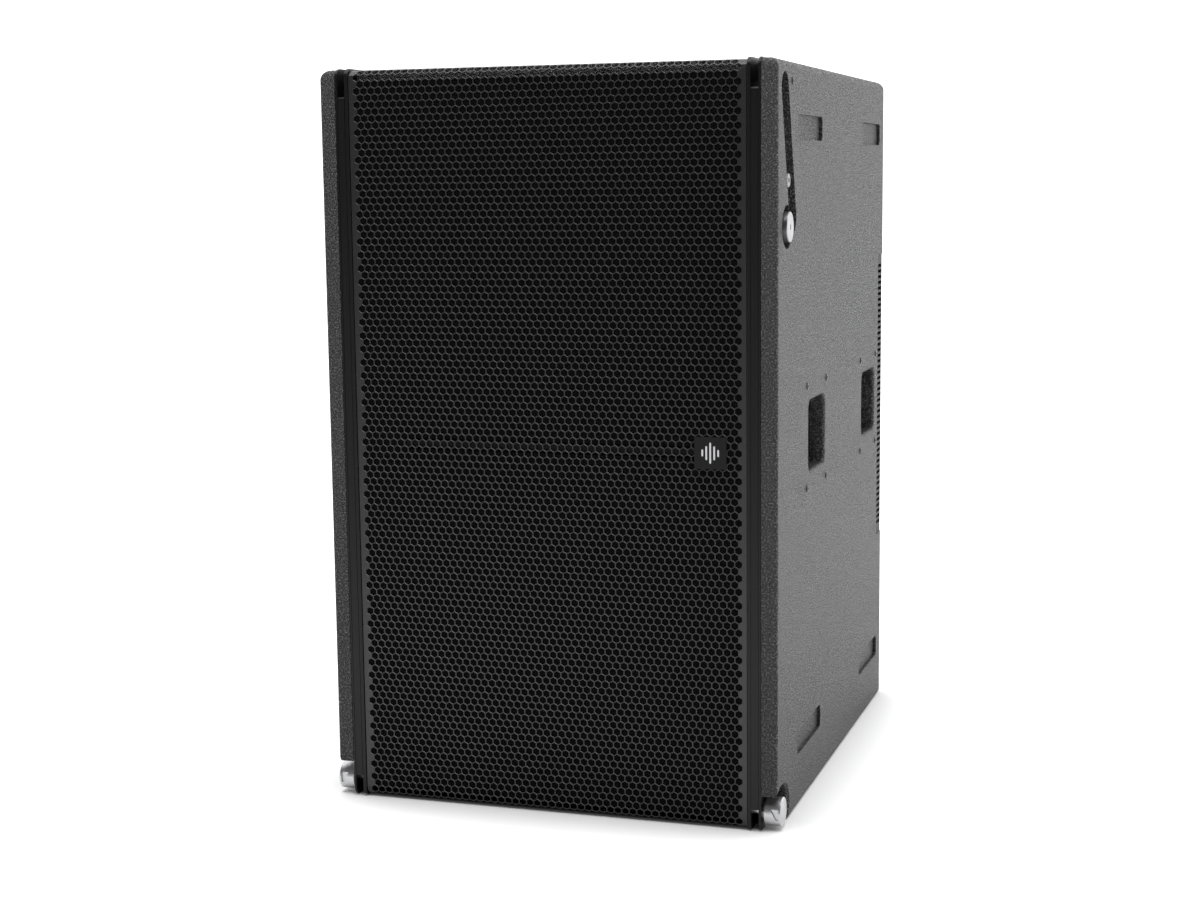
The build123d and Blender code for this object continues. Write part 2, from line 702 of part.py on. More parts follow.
def baffle_board():
    y = (from_front(BAFFLE_SET_BACK), from_front(BAFFLE_SET_BACK + BAFFLE_THICKNESS))
    board = block((-BAFFLE_HALF_WIDTH, BAFFLE_HALF_WIDTH), y, (WALL, HEIGHT - WALL))
    through = (y[0] - 1, y[1] + 1)
    seats = [rod_y(through, 0, z, SEAT_RADIUS) for z in WOOFER_HEIGHTS]
    ports = [rod_y(through, x, z, PORT_RADIUS + PORT_WALL) for x, z in port_places()]
    places = [place for z in WOOFER_HEIGHTS for place in woofer_screw_places(z)]
    screws = [rod_y(through, *place, WOOFER_SCREW_RADIUS + SCREW_CLEARANCE) for place in places]
    return board - seats - ports - screws


def port_tubes():
    y = (from_front(BAFFLE_SET_BACK), from_front(BAFFLE_SET_BACK + PORT_LENGTH))
    tubes = []
    for x, z in port_places():
        outer = rod_y(y, x, z, PORT_RADIUS + PORT_WALL)
        tube = outer - rod_y((y[0] - 1, y[1] + 1), x, z, PORT_RADIUS)
        tubes.append(tube)
    return tubes


def centre_brace():
    """Level batten on the baffle that holds the grille off it, between the woofers."""
    half = BRACE_HEIGHT / 2
    y = (from_front(BRACE_SET_BACK), from_front(BAFFLE_SET_BACK))
    brace = block((-BRACE_HALF_WIDTH, BRACE_HALF_WIDTH), y, (HEIGHT / 2 - half, HEIGHT / 2 + half))
    return chamfer(brace.edges().filter_by(Axis.X).group_by(Axis.Y)[0], BRACE_HEIGHT / 4)


def cross_braces():
    """Two upright frames across the inside, one behind each woofer."""
    y = (from_front(FRAME_SET_BACK), from_front(FRAME_SET_BACK + BOARD))
    hole = extrude(Plane.XZ * RectangleRounded(*FRAME_WINDOW, FRAME_WINDOW_CORNER), BOARD, both=True)
    frames = []
    for z in ((WALL, (HEIGHT - BOARD) / 2), ((HEIGHT + BOARD) / 2, HEIGHT - WALL)):
        frame = block((-WALL_INSIDE, WALL_INSIDE), y, z)
        middle = (z[0] + z[1]) / 2
        frames.append(frame - [Pos(side * FRAME_WINDOW_X, y[0], middle) * hole for side in (-1, 1)])
    return frames


def shelf_brace():
    """Level board between the woofers, from the baffle to the electronics."""
    y = (from_front(BAFFLE_SET_BACK + BAFFLE_THICKNESS), from_front(SHELF_END))
    board = block((-SHELF_HALF_WIDTH, SHELF_HALF_WIDTH), y, ((HEIGHT - BOARD) / 2, (HEIGHT + BOARD) / 2))
    hole = extrude(RectangleRounded(*SHELF_WINDOW, SHELF_WINDOW_CORNER), BOARD, both=True)
    windows = [
        Pos(side * SHELF_WINDOW_X, from_front(distance), HEIGHT / 2) * hole
        for side in (-1, 1)
        for distance in SHELF_WINDOW_CENTRES
    ]
    return board - windows


def basket(z):
    """Cast frame: front flange and rim, eight arms, a ledge for the spider and a rear seat for the motor."""
    flange = ring((RIM_RADII[0], WOOFER_RADIUS), (-FLANGE_THICKNESS, 0), z)
    rim = ring(RIM_RADII, (0, RIM_DEPTH), z)
    wide, narrow = RIM_RADII[1], MOTOR_SEAT_RADII[1]
    start, end = ARM_DEPTHS
    points = ((wide - ARM_THICKNESS, start), (wide, start), (narrow, end), (narrow - ARM_THICKNESS, end))
    cone_wall = turned(points, z)
    seat = ring(MOTOR_SEAT_RADII, MOTOR_SEAT_DEPTHS, z)
    ledge = ring(LEDGE_RADII, LEDGE_DEPTHS, z)
    through = (FRONT, from_front(BAFFLE_SET_BACK + 1))
    radius = WOOFER_SCREW_RADIUS + SCREW_CLEARANCE
    holes = [rod_y(through, *place, radius) for place in woofer_screw_places(z)]
    return join([flange, rim, cone_wall - arm_gaps(z), seat, ledge]) - holes


def arm_gaps(z):
    """Blocks that open the frame between its arms."""
    centre = Pos(0, from_front(BAFFLE_SET_BACK + ARM_GAP_DEPTH), z)
    angles = [360 / ARM_COUNT * (index + 0.5) for index in range(ARM_COUNT)]
    return [centre * Rot(0, angle, 0) * Pos(ARM_GAP_RADIUS, 0, 0) * Box(*ARM_GAP) for angle in angles]


def surround(z):
    """Half-roll rubber edge between the cone and the frame."""
    face = -FLANGE_THICKNESS - COIL_GLUE
    tube = Circle(ROLL_OUTER) - Circle(ROLL_OUTER - ROLL_THICKNESS)
    front_half = Pos(0, -ROLL_OUTER) * Rectangle(3 * ROLL_OUTER, 2 * ROLL_OUTER)
    half = Pos(ROLL_RADIUS, face) * (tube & front_half)
    roll = Pos(0, from_front(BAFFLE_SET_BACK), z) * revolve(half, Axis.Y)
    return roll + ring(LIP_RADII, (-FLANGE_THICKNESS - ROLL_THICKNESS, -FLANGE_THICKNESS), z)


def gasket(z):
    return ring(GASKET_RADII, (-FLANGE_THICKNESS - GASKET_THICKNESS, -FLANGE_THICKNESS), z)


def cone(z):
    """Paper cone with a flat rim at the surround and a neck at the voice coil."""
    neck = COIL_RADIUS + COIL_WALL[1] + COIL_GLUE
    rim = CONE_RADIUS + CONE_RIM / 2
    face = -FLANGE_THICKNESS
    front, back = NECK_DEPTHS
    points = ((neck, front), (neck, back), (rim, face + CONE_EDGE), (rim, face), (rim - CONE_RIM, face))
    return turned(points, z)


def dust_cap(z):
    """Shallow dome glued over the coil."""
    nose = from_front(BAFFLE_SET_BACK) + CAP_NOSE
    ball = Sphere(CAP_BALL_RADIUS) - Sphere(CAP_BALL_RADIUS - CAP_THICKNESS)
    shell = Pos(0, nose + CAP_BALL_RADIUS, z) * ball
    return shell & rod_y((nose - 1, nose + CAP_HEIGHT), 0, z, CAP_RADIUS)


def coil_former(z):
    return ring([COIL_RADIUS + offset for offset in COIL_WALL], COIL_DEPTHS, z)


def spider(z):
    """Corrugated centring disc behind the cone."""
    first = COIL_RADIUS + COIL_WALL[1] + COIL_GLUE
    radii = [first + index * SPIDER_STEP for index in range(SPIDER_POINTS)]
    start, end = SPIDER_ENDS
    waves = [(radius, start - SPIDER_WAVE * (-1) ** index) for index, radius in enumerate(radii)]
    front = [(radii[0], start), *waves[1:-1], (radii[-1], end)]
    back = [(radius, depth + SPIDER_THICKNESS) for radius, depth in reversed(front)]
    return turned((*front, *back), z)


def top_plate(z):
    return ring(TOP_PLATE_RADII, TOP_PLATE_DEPTHS, z)


def magnet(z):
    """Ferrite ring between the top plate and the back plate."""
    return ring(MAGNET_RADII, MAGNET_DEPTHS, z)


def pole_plate(z):
    """Back plate with its vented pole inside the coil."""
    bore, pole = POLE_RADII
    plate_front = MAGNET_DEPTHS[1]
    plate_back = plate_front + BACK_PLATE_THICKNESS
    edge = TOP_PLATE_RADII[1]
    points = ((bore, POLE_START), (pole, POLE_START), (pole, plate_front), (edge, plate_front),
              (edge, plate_back), (bore, plate_back))
    return turned(points, z)


def terminals(z):
    """Insulating strip with two posts, on the frame above the motor."""
    y = from_front(BAFFLE_SET_BACK + TERMINAL_DEPTH)
    low, high = [z + height for height in TERMINAL_HEIGHTS]
    base = block((-TERMINAL_HALF_WIDTH, TERMINAL_HALF_WIDTH), (y, y + TERMINAL_THICKNESS), (low, high))
    post_y = (y - 2 * POST_RADIUS, y + 4 * POST_RADIUS)
    posts = [rod_y(post_y, side * POST_OFFSET, high - POST_OFFSET, POST_RADIUS) for side in (-1, 1)]
    return base + posts


def woofer_screw(place):
    """Button-headed screw along Y, its head towards -Y, with a hexagon socket."""
    x, z = place
    face = from_front(BAFFLE_SET_BACK - FLANGE_THICKNESS)
    radius, height = WOOFER_SCREW_HEAD
    head = rod_y((face - height, face), x, z, radius)
    head = fillet(head.edges().group_by(Axis.Y)[0], height / 3)
    shank = rod_y((face - 1, face + WOOFER_SCREW_LENGTH), x, z, WOOFER_SCREW_RADIUS)
    hexagon = extrude(RegularPolygon(radius / 2, 6), height / 2, both=True)
    return head + shank - Pos(x, face - height, z) * Rot(90, 0, 0) * hexagon


def woofer_screws():
    return [woofer_screw(place) for z in WOOFER_HEIGHTS for place in woofer_screw_places(z)]


def side_screw(y, z):
    """Screw in the right-hand wall with a low button head and a hexagon socket."""
    radius, height = SIDE_SCREW_HEAD
    head = rod_x((SIDE, SIDE + height), y, z, radius)
    head = fillet(head.edges().group_by(Axis.X)[-1], height / 2)
    shank = rod_x((WALL_INSIDE - CUP_WALL, SIDE + height / 3), y, z, SIDE_SCREW_RADIUS)
    return head + shank - hex_socket(SIDE + height, (y, z), radius / 2, height / 2)


def handle_cup(y, z):
    """Moulded dish behind the wall, wider than the hand hole so that fingers can curl behind its edge."""
    flange_x = (WALL_INSIDE - CUP_WALL, WALL_INSIDE)
    flange = panel_x(Pos(y, z) * RectangleRounded(*CUP_FLANGE, CUP_FLANGE_CORNER), flange_x)
    dish = cup_shape(y, z, 0, WALL_INSIDE)
    hollow = cup_shape(y, z, CUP_WALL, WALL_INSIDE + 1)
    places = [place for place in handle_screw_places() if abs(place[0] - y) < CUP_FLANGE[0] / 2]
    holes = [rod_x((flange_x[0] - 1, WALL_INSIDE + 1), *place, SIDE_SCREW_RADIUS) for place in places]
    return flange + dish - hollow - holes


def cup_shape(y, z, inset, end):
    """The dish as a solid with a rounded bottom, drawn in by the inset."""
    width, height = [size - 2 * inset for size in CUP_OUTER]
    outline = Pos(y, z) * RectangleRounded(width, height, CUP_CORNER - inset)
    dish = panel_x(outline, (WALL_INSIDE - CUP_DEPTH + inset, end))
    return fillet(dish.edges().group_by(Axis.X)[0], CUP_BOTTOM_RADIUS - inset)


def back_panels():
    """Upper and lower boards of the back, each with a rim beside the recess for the electronics."""
    x = (-WALL_INSIDE, WALL_INSIDE)
    board_y = (BACK - WALL, BACK)
    rim_y = (from_front(REAR_CUT_SET_BACK), BACK - WALL)
    low, high = REAR_CUT
    lower = block(x, board_y, (WALL, low)) + block(x, rim_y, (low - BOARD, low))
    upper = block(x, board_y, (high, HEIGHT - WALL)) + block(x, rim_y, (high, high + BOARD))
    return [lower, upper]


def mounting_plate():
    """Aluminium plate that carries the electronics and closes the recess."""
    half = WALL_INSIDE - GAP
    y = (from_front(PLATE_SET_BACK), from_front(REAR_CUT_SET_BACK))
    plate = block((-half, half), y, (REAR_CUT[0] - BOARD, REAR_CUT[1] + BOARD))
    return plate - connector_holes((y[0] - 1, y[1] + 1))


def connector_holes(y):
    """Holes for the inlet, the sockets and the dial's bush."""
    sockets = [rod_y(y, *place, SOCKET_RADIUS + GAP) for place in SOCKET_CENTRES]
    return [inlet_shape(y, GAP), *sockets, rod_y(y, *DIAL_CENTRE, BUSH_RADIUS)]


def inlet_shape(y, margin):
    x, z = INLET_CENTRE
    half_width, half_height = [size / 2 + margin for size in INLET_BODY[:2]]
    return block((x - half_width, x + half_width), y, (z - half_height, z + half_height))


def heatsink():
    """Right-hand heatsink: a closed extrusion with level air channels, open at both of its ends."""
    y = (from_front(REAR_CUT_SET_BACK), from_front(REAR_CUT_SET_BACK + SINK_DEPTH))
    body = block((SINK_INNER, SINK_OUTER), y, (REAR_CUT[0] + GAP, REAR_CUT[1] - GAP))
    channel_y = (y[0] + SINK_WALL, y[1] - SINK_SKIN)
    channels = [
        block((SINK_INNER - 1, SINK_OUTER + 1), channel_y, (z, z + CHANNEL_HEIGHT))
        for z in [FIRST_CHANNEL + index * CHANNEL_PITCH for index in range(CHANNEL_COUNT)]
    ]
    return body - channels


def panel_face():
    """The Y of the connector panel's outer face."""
    return from_front(REAR_CUT_SET_BACK + PANEL_THICKNESS)


def plate_y(x, z, size, y0):
    """A flat plate centred on (x, z), with its thickness towards +Y. Size is (width, height, thickness)."""
    width, height, thickness = size
    return block((x - width / 2, x + width / 2), (y0, y0 + thickness), (z - height / 2, z + height / 2))


def connector_panel():
    """Thin cover plate with the sockets and the level dial."""
    y = (from_front(REAR_CUT_SET_BACK), panel_face())
    panel = block((-PANEL_HALF_WIDTH, PANEL_HALF_WIDTH), y, PANEL_Z)
    panel = fillet(panel.edges().filter_by(Axis.Y), PANEL_CORNER)
    through = (y[0] - 1, y[1] + 1)
    screws = [rod_y(through, *place, PANEL_SCREW_RADIUS) for place in panel_screw_places()]
    return panel - [*connector_holes(through), *screws]


def panel_screw_places():
    x = PANEL_HALF_WIDTH - PANEL_SCREW_INSET
    low, high = PANEL_Z[0] + PANEL_SCREW_INSET, PANEL_Z[1] - PANEL_SCREW_INSET
    return [(side * x, z) for side in (-1, 1) for z in (low, (low + high) / 2, high)]


def panel_screws():
    """Screws of the connector panel, heads towards +Y."""
    face = panel_face()
    radius, height = PANEL_SCREW_HEAD
    hexagon = extrude(RegularPolygon(radius / 2, 6), height / 2, both=True)
    screws = []
    for x, z in panel_screw_places():
        head = rod_y((face, face + height), x, z, radius)
        head = fillet(head.edges().group_by(Axis.Y)[-1], height / 3)
        shank = rod_y((face - PANEL_THICKNESS, face + 1), x, z, PANEL_SCREW_RADIUS)
        screws.append(head + shank - Pos(x, face + height, z) * Rot(90, 0, 0) * hexagon)
    return screws


def power_inlet():
    """Chassis inlet: a flange and a hollow shroud with three blades inside."""
    x, z = INLET_CENTRE
    face = panel_face()
    flange = fillet(plate_y(x, z, INLET_FLANGE, face).edges().filter_by(Axis.Y), INLET_CORNER)
    body = inlet_shape((face - INLET_BODY[2], face + 1), 0)
    width, height, depth = INLET_CAVITY
    cavity = plate_y(x, z, (width, height, 2 * depth), face - depth)
    blade = (*BLADE_SIZE, depth - BLADE_BELOW_FACE + 1)
    blades = [plate_y(x + dx, z + dz, blade, face - depth - 1) for dx, dz in BLADE_CENTRES]
    return flange + body - cavity + blades


def signal_socket(x, z, pins):
    """Round chassis socket with a rectangular flange. The output has three pins, the input a plain bore."""
    face = panel_face()
    flange = fillet(plate_y(x, z, SOCKET_FLANGE, face).edges().filter_by(Axis.Y), SOCKET_CORNER)
    body = rod_y((face - SOCKET_DEPTH, face + 1), x, z, SOCKET_RADIUS)
    cavity = rod_y((face - SOCKET_BORE_DEPTH, face + SOCKET_BORE_DEPTH), x, z, SOCKET_BORE)
    socket = flange + body - cavity
    if not pins:
        return socket
    pin_y = (face - SOCKET_BORE_DEPTH - 1, face - BLADE_BELOW_FACE)
    places = []
    for angle in SIGNAL_PIN_ANGLES:
        turn = math.radians(angle)
        places.append((x + SIGNAL_PIN_CIRCLE * math.cos(turn), z + SIGNAL_PIN_CIRCLE * math.sin(turn)))
    return socket + [rod_y(pin_y, *place, SIGNAL_PIN_RADIUS) for place in places]


def level_dial():
    """Knurled dial on the connector panel, turned about Y."""
    x, z = DIAL_CENTRE
    face = panel_face()
    dial = rod_y((face + GAP, face + DIAL_LENGTH), x, z, DIAL_RADIUS)
    dial = fillet(dial.edges().group_by(Axis.Y)[-1], 1)
    middle = Pos(x, face + DIAL_LENGTH / 2 + 1, z)
    rib = Box(DIAL_RIB, DIAL_LENGTH - DIAL_RIB_END, DIAL_RIB)
    angles = [360 / DIAL_RIBS * index for index in range(DIAL_RIBS)]
    grooves = [middle * Rot(0, angle, 0) * Pos(DIAL_RADIUS, 0, 0) * rib for angle in angles]
    width, length = DIAL_POINTER
    pointer = plate_y(x, z + 1 + length / 2, (width, length, 2), face + DIAL_LENGTH - width / 2)
    shaft = rod_y((face - SHAFT_LENGTH, face + 1), x, z, SHAFT_RADIUS)
    return dial - grooves - pointer + shaft


def dial_bush():
    face = panel_face()
    y = (face - SHAFT_LENGTH + 1, face)
    bore = rod_y((y[0] - 1, y[1] + 1), *DIAL_CENTRE, SHAFT_RADIUS + BUSH_CLEARANCE)
    return rod_y(y, *DIAL_CENTRE, BUSH_RADIUS) - bore


def amplifier_cover():
    """Folded sheet box around the electronics, open towards the mounting plate."""
    y = (from_front(COVER_SET_BACK), from_front(PLATE_SET_BACK))
    outer = block((-COVER_HALF_WIDTH, COVER_HALF_WIDTH), y, COVER_Z)
    half = COVER_HALF_WIDTH - COVER_SHEET
    inner_z = (COVER_Z[0] + COVER_SHEET, COVER_Z[1] - COVER_SHEET)
    return outer - block((-half, half), (y[0] + COVER_SHEET, y[1] + 1), inner_z)


def circuit_board():
    """Board with its main components on the side away from the mounting plate."""
    y = from_front(PLATE_SET_BACK - BOARD_FROM_PLATE)
    board = block(BOARD_X, (y, y + BOARD_THICKNESS), BOARD_Z)
    width, height, depth = BLOCK_SIZE
    left, low = BLOCK_START
    lefts = [left + index * BLOCK_PITCH for index in range(BLOCK_COUNT)]
    blocks = [block((x, x + width), (y - depth, y), (low, low + height)) for x in lefts]
    first, z = CAN_START
    can_xs = [first + index * CAN_PITCH for index in range(CAN_COUNT)]
    cans = [rod_y((y - CAN_LENGTH, y), x, z, CAN_RADIUS) for x in can_xs]
    return join([board, *blocks, *cans])


def power_transformer():
    x, z = RING_CORE_PLACE
    return Pos(x, from_front(PLATE_SET_BACK - RING_CORE_FROM_PLATE), z) * Rot(90, 0, 0) * Torus(*RING_CORE)


def save_shell():
    save("side_panel_right", side_panel_right())
    save("side_panel_left", mirrored(side_wall()))
    save("top_panel", horizontal_panel((HEIGHT - WALL, HEIGHT)))
    save("bottom_panel", horizontal_panel((0, WALL)))
    save("back_panels", group(back_panels()))
    save("baffle_board", baffle_board())
    save("cross_braces", group(cross_braces()))
    save("shelf_brace", shelf_brace())
    save("centre_brace", centre_brace())
    save("port_tubes", group(port_tubes()))
    save("front_grille", grille())
    save("grille_foam", grille_foam())
    save("badge_plate", badge())
    save("skid_feet", group(skid_feet()))
    save_both("cheek_panels", [cheek_panel()])


def save_rigging():
    save_pair("rigging_rail", rigging_rail())
    save_pair("link_bar", link_bar())
    save_both("link_guides", [link_guide()])
    save_pair("guide_bolt", guide_bolt())
    knobs = {
        "upper_lock": (upper_knob_place(), UPPER_KNOB_FACE, False),
        "base_lock": (base_knob_place(), BASE_KNOB_FACE, True),
    }
    for name, (place, face, notched) in knobs.items():
        save_pair(f"{name}_knob", lock_knob(place, face, notched))
        save_pair(f"{name}_pin", lock_pin(place, face))
    save_both("lock_sleeves", [lock_sleeve(place, face) for place, face, _ in knobs.values()])
    save_both("lock_springs", [lock_spring(place, face) for place, face, _ in knobs.values()])


def save_woofers():
    for name, z in zip(("lower", "upper"), WOOFER_HEIGHTS):
        save(f"{name}_cone", cone(z))
        save(f"{name}_dust_cap", dust_cap(z))
        save(f"{name}_coil_former", coil_former(z))
    fixed = {
        "baskets": basket,
        "surrounds": surround,
        "spiders": spider,
        "top_plates": top_plate,
        "magnets": magnet,
        "pole_plates": pole_plate,
        "gaskets": gasket,
        "terminals": terminals,
    }
    for name, make in fixed.items():
        save(f"woofer_{name}", group([make(z) for z in WOOFER_HEIGHTS]))
    save("woofer_screws", group(woofer_screws()))


def save_handles():
    save_both("handle_cups", [handle_cup(y, z) for y, z in handle_places()])
    save_both("side_screws", [side_screw(y, z) for y, z in [*handle_screw_places(), rail_screw_place()]])


def save_electronics():
    save("mounting_plate", mounting_plate())
    save_both("heatsinks", [heatsink()])
    save("connector_panel", connector_panel())
    save("panel_screws", group(panel_screws()))
    save("power_inlet", power_inlet())
    sockets = [signal_socket(*place, pins) for place, pins in zip(SOCKET_CENTRES, (False, True))]
    save("signal_sockets", group(sockets))
    save("level_dial", level_dial())
    save("dial_bush", dial_bush())
    save("amplifier_cover", amplifier_cover())
    save("circuit_board", circuit_board())
    save("power_transformer", power_transformer())


os.makedirs("parts", exist_ok=True)
save_shell()
save_rigging()
save_woofers()
save_handles()
save_electronics()
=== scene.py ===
import json
import math

import bmesh
import bpy
from mathutils import Matrix, Vector


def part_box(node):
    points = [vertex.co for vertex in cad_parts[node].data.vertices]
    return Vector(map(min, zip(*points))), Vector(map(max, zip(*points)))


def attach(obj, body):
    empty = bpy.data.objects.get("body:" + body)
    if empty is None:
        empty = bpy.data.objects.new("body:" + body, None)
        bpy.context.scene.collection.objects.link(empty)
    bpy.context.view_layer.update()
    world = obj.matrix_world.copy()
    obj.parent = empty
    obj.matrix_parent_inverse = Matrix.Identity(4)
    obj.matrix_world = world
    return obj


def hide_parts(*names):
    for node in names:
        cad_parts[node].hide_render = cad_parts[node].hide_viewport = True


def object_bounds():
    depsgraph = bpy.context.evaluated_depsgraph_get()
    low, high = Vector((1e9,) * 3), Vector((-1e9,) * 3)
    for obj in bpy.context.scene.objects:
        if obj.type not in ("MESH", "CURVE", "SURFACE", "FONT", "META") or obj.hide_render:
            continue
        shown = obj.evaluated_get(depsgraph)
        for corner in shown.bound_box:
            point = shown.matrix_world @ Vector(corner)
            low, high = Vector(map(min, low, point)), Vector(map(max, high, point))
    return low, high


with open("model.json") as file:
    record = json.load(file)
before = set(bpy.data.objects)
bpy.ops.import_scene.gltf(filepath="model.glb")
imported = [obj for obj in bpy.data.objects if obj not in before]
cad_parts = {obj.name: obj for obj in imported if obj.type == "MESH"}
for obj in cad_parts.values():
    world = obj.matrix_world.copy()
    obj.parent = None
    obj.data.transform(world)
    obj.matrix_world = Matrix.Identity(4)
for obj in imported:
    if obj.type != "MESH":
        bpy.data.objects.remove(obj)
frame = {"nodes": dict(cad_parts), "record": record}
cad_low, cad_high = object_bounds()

# PA bass cabinet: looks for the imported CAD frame. Metres, +Z up, the front faces -Y.

# Camera, placed from the front plane of the cabinet
CAMERA_FROM_FRONT = 2.7013
CAMERA_SIDE = 0.960
CAMERA_HEIGHT = 0.9355
CAMERA_YAW = 17.987
CAMERA_PITCH = -7.739
CAMERA_ROLL = -0.640
CAMERA_LENS = 59.62
SENSOR_WIDTH = 36.0

# Hexagonal perforation of the grille
PITCH = 0.0115
ROW_STEP = PITCH * math.sqrt(3) / 2
CELL_RADIUS = PITCH / math.sqrt(3)
HOLE_RADIUS = CELL_RADIUS * 0.83
HOLE_EDGE = 0.0006
SHEET = 0.0015
WIDE_ROW = 51
TOP_ROW = 55
BEND_RADIUS = 0.014
BEND_STEPS = 6

MOTIF_BARS = (0.010, 0.020, 0.030, 0.020, 0.010)
MOTIF_PITCH = 0.0058
MOTIF_BAR_WIDTH = 0.0026
MOTIF_RELIEF = 0.0003

# Studio light: the surround behind the camera and opposite it, and the floor's glow near to and far from the cabinet
SURROUND = (0.12, 1.7)
FLOOR_GLOW = (0.45, 0.45)


class Paint:
    """Builds one procedural material, node by node."""

    def __init__(self, name, roughness=0.5, metallic=0.0, **sockets):
        self.material = bpy.data.materials.new(name)
        self.material.use_nodes = True
        self.tree = self.material.node_tree
        self.shader = self.tree.nodes["Principled BSDF"]
        self.shader.inputs["Roughness"].default_value = roughness
        self.shader.inputs["Metallic"].default_value = metallic
        for socket, value in sockets.items():
            self.shader.inputs[socket.replace("_", " ")].default_value = value
        self.place = self.node("ShaderNodeTexCoord").outputs["Object"]
        self.relief = None

    def node(self, kind, inputs=None, **settings):
        made = self.tree.nodes.new(kind)
        for name, value in settings.items():
            setattr(made, name, value)
        for socket, value in (inputs or {}).items():
            self.feed(made.inputs[socket], value)
        return made

    def feed(self, socket, value):
        if isinstance(value, bpy.types.NodeSocket):
            self.tree.links.new(value, socket)
        else:
            socket.default_value = value

    def stretched(self, scale):
        """Object coordinates scaled along each axis."""
        return self.node("ShaderNodeMapping", {"Vector": self.place, "Scale": scale}).outputs["Vector"]

    def noise(self, scale, detail=2.0, roughness=0.5, vector=None):
        inputs = {"Vector": vector or self.place, "Scale": scale, "Detail": detail, "Roughness": roughness}
        return self.node("ShaderNodeTexNoise", inputs).outputs["Fac"]

    def cells(self, scale, feature="F1", output="Distance", vector=None):
        made = self.node("ShaderNodeTexVoronoi", {"Vector": vector or self.place, "Scale": scale}, feature=feature)
        return made.outputs[output]

    def calc(self, operation, first, second=0.0):
        return self.node("ShaderNodeMath", {0: first, 1: second}, operation=operation).outputs[0]

    def remap(self, value, low, high, new_low=0.0, new_high=1.0):
        inputs = {"Value": value, "From Min": low, "From Max": high, "To Min": new_low, "To Max": new_high}
        return self.node("ShaderNodeMapRange", inputs).outputs["Result"]

    def blend(self, factor, first, second):
        made = self.node("ShaderNodeMix", data_type="RGBA")
        self.feed(made.inputs["Factor"], factor)
        self.feed(made.inputs["A"], first)
        self.feed(made.inputs["B"], second)
        return made.outputs["Result"]

    def bump(self, height, strength, distance):
        inputs = {"Height": height, "Strength": strength, "Distance": distance}
        if self.relief is not None:
            inputs["Normal"] = self.relief
        self.relief = self.node("ShaderNodeBump", inputs).outputs["Normal"]

    def finish(self, colour=None, roughness=None):
        if colour is not None:
            self.feed(self.shader.inputs["Base Color"], colour)
        if roughness is not None:
            self.feed(self.shader.inputs["Roughness"], roughness)
        if self.relief is not None:
            self.feed(self.shader.inputs["Normal"], self.relief)
        return self.material


def grey(value, alpha=1.0):
    return (value, value, value * 1.02, alpha)


def wall_coating():
    """Black polyurea: coarse hard grains over a slightly uneven surface, with a few bright chips low at the front. The
    pale specks in the grain colour are partly the grains' own tone and partly painted glints.
    """
    paint = Paint("wall_coating", roughness=0.4, Specular_IOR_Level=0.55)
    grains = paint.noise(400.0, 1.0, 0.5)
    fine = paint.noise(950.0, 1.0, 0.5)
    wash = paint.noise(9.0, 2.0)
    paint.bump(grains, 1.0, 0.009)
    paint.bump(fine, 1.0, 0.0025)
    # Grain colour from near black to pale grey: partly the grains' own tone, partly painted glints standing in for the
    # highlights on grain facets.
    tone = paint.remap(grains, 0.42, 0.66)
    colour = paint.blend(paint.calc("MULTIPLY", tone, tone), grey(0.002), grey(0.14))
    shade = paint.remap(wash, 0.3, 0.7, 0.85, 1.1)
    colour = paint.blend(chips(paint), paint.blend(shade, grey(0.006), colour), grey(0.75))
    return paint.finish(colour, paint.remap(grains, 0.3, 0.7, 0.55, 0.32))


def chips(paint):
    """Mask of small chips along the lower front edges of the walls."""
    split = paint.node("ShaderNodeSeparateXYZ", {"Vector": paint.place})
    side = paint.calc("ABSOLUTE", split.outputs["X"])
    near_side = paint.remap(side, cad_high.x - 0.012, cad_high.x - 0.007)
    near_front = paint.remap(split.outputs["Y"], cad_low.y + 0.008, cad_low.y + 0.003)
    low = paint.remap(split.outputs["Z"], 0.36, 0.10)
    spots = paint.remap(paint.noise(210.0, 3.0, 0.7), 0.655, 0.67)
    where = paint.calc("MULTIPLY", paint.calc("MULTIPLY", near_side, near_front), low)
    return paint.calc("MULTIPLY", where, spots)


def plywood():
    """Bare birch: long grain along Y with faint pores."""
    paint = Paint("plywood", roughness=0.6)
    grain = paint.noise(4.0, 6.0, 0.6, paint.stretched((18.0, 1.5, 18.0)))
    pores = paint.noise(60.0, 2.0, 0.5, paint.stretched((20.0, 1.0, 20.0)))
    paint.bump(pores, 0.2, 0.0004)
    colour = paint.blend(grain, (0.52, 0.36, 0.2, 1), (0.68, 0.52, 0.33, 1))
    return paint.finish(colour, paint.remap(pores, 0.3, 0.7, 0.5, 0.7))


def matt_board(name="baffle_paint"):
    """Rolled matt black paint over wood, darkened further as painted shade for the inside of the cabinet."""
    paint = Paint(name, roughness=0.8, Specular_IOR_Level=0.15)
    nap = paint.noise(350.0, 3.0, 0.6)
    paint.bump(nap, 0.35, 0.0006)
    # Near-black colour: partly the paint's own black, partly painted shade inside the cabinet.
    colour = paint.blend(paint.noise(14.0, 3.0), grey(0.004), grey(0.008))
    return paint.finish(colour, paint.remap(nap, 0.3, 0.7, 0.7, 0.9))


def powder_coat(name, low, high, roughness, gloss=0.5):
    """Powder coat: soft orange peel and very slight colour change."""
    paint = Paint(name, roughness=roughness, Specular_IOR_Level=gloss)
    peel = paint.noise(900.0, 2.0)
    paint.bump(peel, 0.12, 0.0002)
    colour = paint.blend(paint.noise(30.0, 3.0), grey(low), grey(high))
    return paint.finish(colour, paint.remap(peel, 0.3, 0.7, roughness - 0.06, roughness + 0.08))


